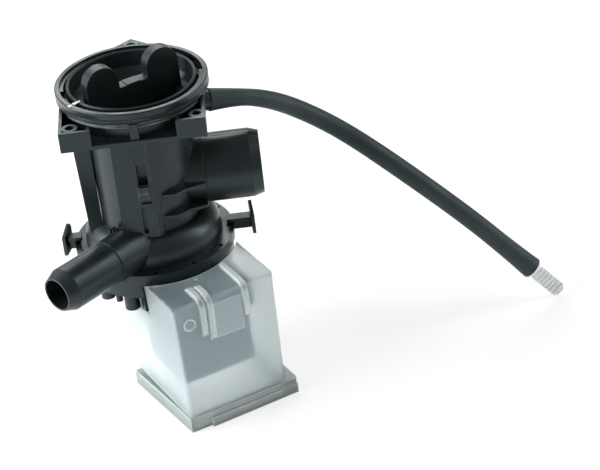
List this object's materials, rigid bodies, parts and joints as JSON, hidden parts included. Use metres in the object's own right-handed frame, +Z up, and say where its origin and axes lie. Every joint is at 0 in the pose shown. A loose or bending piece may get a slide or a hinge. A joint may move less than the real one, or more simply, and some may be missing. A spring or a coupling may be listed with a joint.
{
  "type": "washing machine drain pump",
  "caption": "Coaxial drain pump: twist-out filter cap on top, side inlet, slanted outlet at the volute, motor below under a clip-on splash cover, short drain hose with stopper.",
  "frame": {"origin": "on the filter axis, at the foot of the filter collar, just above the mounting tray", "axes": "+Z up along the filter axis, +X along the inlet, +Y towards the pointed ear of the tray; the cover's foot is the lowest plane"},
  "size_m": [0.3115, 0.1488, 0.2105],
  "materials": {
    "black_plastic": "satin black moulded plastic",
    "black_rubber": "matt black rubber",
    "hose_rubber": "smooth black rubber hose",
    "clear_plastic": "milky translucent soft plastic",
    "cover_plastic": "natural translucent plastic with a blue tint",
    "steel": "ground steel",
    "magnet": "dark ferrite",
    "bronze": "sintered bronze",
    "white_plastic": "off-white moulded plastic",
    "laminations": "stacked sheet steel",
    "copper": "enamelled copper wire",
    "tinned_brass": "tinned brass blades",
    "coil_plastic": "dark moulded plastic"
  },
  "bodies": {
    "pump": {"filter_housing": "black_plastic", "front_bearing": "bronze", "rear_bearing": "bronze", "thrust_washer": "white_plastic", "bearing_plate": "white_plastic", "motor_flange": "black_plastic", "flange_seal": "black_rubber", "stator_core": "laminations", "bobbin_left": "white_plastic", "bobbin_right": "white_plastic", "winding_left": "copper", "winding_right": "copper", "coil_housing": "coil_plastic", "terminal_block": "coil_plastic", "terminal_blades": "tinned_brass", "earth_blade": "tinned_brass", "splash_cover": "cover_plastic", "drain_hose": "hose_rubber"},
    "filter_seal": {"cap_seal": "black_rubber"},
    "filter": {"filter_cap": "black_plastic", "filter_basket": "black_plastic"},
    "rotor": {"rotor_shaft": "steel", "rotor_hub": "white_plastic", "rotor_magnet": "magnet", "drive_dog": "white_plastic"},
    "impeller": {"impeller": "white_plastic", "hub_cap": "white_plastic"},
    "stopper": {"drain_plug": "clear_plastic"}
  },
  "joints": [
    {"name": "filter_pull", "type": "slide", "parent": "pump", "child": "filter_seal", "axis": [0, 0, 1], "range_m": [0, 0.1]},
    {"name": "filter_turn", "type": "hinge", "parent": "filter_seal", "child": "filter", "pos_m": [0, 0, 0], "axis": [0, 0, 1], "range_deg": [-60, 0]},
    {"name": "rotor_spin", "type": "hinge", "parent": "pump", "child": "rotor", "pos_m": [0, 0, -0.13], "axis": [0, 0, 1], "continuous": true},
    {"name": "impeller_slip", "type": "hinge", "parent": "rotor", "child": "impeller", "pos_m": [0, 0, -0.096], "axis": [0, 0, 1], "range_deg": [-135, 135]},
    {"name": "stopper_pull", "type": "slide", "parent": "pump", "child": "stopper", "axis": [0.655, 0.0204, -0.7554], "range_m": [0, 0.012]}
  ]
}
